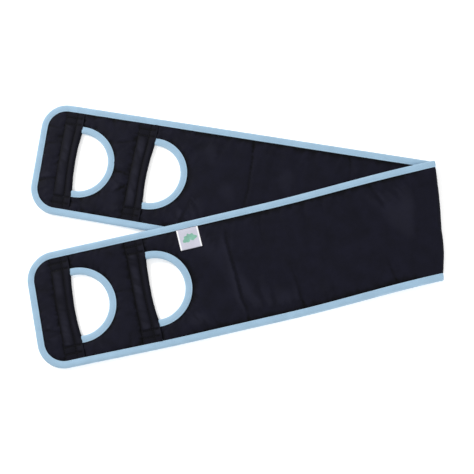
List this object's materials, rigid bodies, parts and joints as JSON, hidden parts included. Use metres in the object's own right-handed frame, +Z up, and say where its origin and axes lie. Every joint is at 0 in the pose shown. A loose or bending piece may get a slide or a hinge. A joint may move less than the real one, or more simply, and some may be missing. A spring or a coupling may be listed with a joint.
{
  "type": "gait belt",
  "caption": "Wide padded gait belt lying folded in half, with bound edges, a sewn label and D-shaped hand holes near both ends, each with a padded handle strip.",
  "frame": {"origin": "centre of the underside of the folded belt's bounding box, on the surface it lies on", "axes": "+X along the bisector of the two arms towards the fold, +Y from the front arm to the rear arm, +Z up"},
  "size_m": [0.7033, 0.4605, 0.0135],
  "materials": {
    "belt_fabric": "matt navy woven nylon",
    "handle_fabric": "matt black woven nylon",
    "binding_tape": "light blue ribbed tape",
    "binding_thread": "light blue thread",
    "handle_thread": "black thread",
    "webbing": "black woven webbing",
    "foam": "closed-cell foam",
    "label": "white satin ribbon",
    "label_mark": "pale green print"
  },
  "bodies": {
    "rear_main": {"fold_binding": "binding_tape", "fold_foam": "foam", "fold_inner_shell": "belt_fabric", "fold_outer_shell": "belt_fabric", "rear_main_edge_binding": "binding_tape", "rear_main_edge_stitching": "binding_thread", "rear_main_foam_core": "foam", "rear_main_grip_core": "foam", "rear_main_handle_cover": "handle_fabric", "rear_main_handle_stitching": "handle_thread", "rear_main_handle_webbing": "webbing", "rear_main_hole_binding": "binding_tape", "rear_main_hole_stitching": "binding_thread", "rear_main_inner_shell": "belt_fabric", "rear_main_outer_shell": "belt_fabric"},
    "rear_end": {"rear_end_edge_binding": "binding_tape", "rear_end_edge_stitching": "binding_thread", "rear_end_foam_core": "foam", "rear_end_grip_core": "foam", "rear_end_handle_cover": "handle_fabric", "rear_end_handle_stitching": "handle_thread", "rear_end_handle_webbing": "webbing", "rear_end_hole_binding": "binding_tape", "rear_end_hole_stitching": "binding_thread", "rear_end_inner_shell": "belt_fabric", "rear_end_outer_shell": "belt_fabric"},
    "front_main": {"front_main_edge_binding": "binding_tape", "front_main_edge_stitching": "binding_thread", "front_main_foam_core": "foam", "front_main_grip_core": "foam", "front_main_handle_cover": "handle_fabric", "front_main_handle_stitching": "handle_thread", "front_main_handle_webbing": "webbing", "front_main_hole_binding": "binding_tape", "front_main_hole_stitching": "binding_thread", "front_main_inner_shell": "belt_fabric", "front_main_outer_shell": "belt_fabric"},
    "front_end": {"front_end_edge_binding": "binding_tape", "front_end_edge_stitching": "binding_thread", "front_end_foam_core": "foam", "front_end_grip_core": "foam", "front_end_handle_cover": "handle_fabric", "front_end_handle_stitching": "handle_thread", "front_end_handle_webbing": "webbing", "front_end_hole_binding": "binding_tape", "front_end_hole_stitching": "binding_thread", "front_end_inner_shell": "belt_fabric", "front_end_outer_shell": "belt_fabric"},
    "label": {"label": "label", "label_mark": "label_mark"}
  },
  "joints": [
    {"name": "belt_unfold", "type": "hinge", "parent": "rear_main", "child": "front_main", "pos_m": [0.34571, 0, 0.00675], "axis": [0, 1, 0], "range_deg": [0, 180], "deforming": ["fold_binding", "fold_foam", "fold_inner_shell", "fold_outer_shell"]},
    {"name": "rear_end_lift", "type": "hinge", "parent": "rear_main", "child": "rear_end", "pos_m": [-0.1862, 0.10919, 0.0066], "axis": [-0.2011, -0.9796, 0], "range_deg": [-110, 0]},
    {"name": "front_end_lift", "type": "hinge", "parent": "front_main", "child": "front_end", "pos_m": [-0.1862, -0.10919, 0.0135], "axis": [0.2011, -0.9796, 0], "range_deg": [-110, 0]},
    {"name": "label_flip", "type": "hinge", "parent": "front_main", "child": "label", "pos_m": [-0.08033, 0.00167, 0.0135], "axis": [0.9796, 0.2011, 0], "range_deg": [-120, 0]}
  ]
}
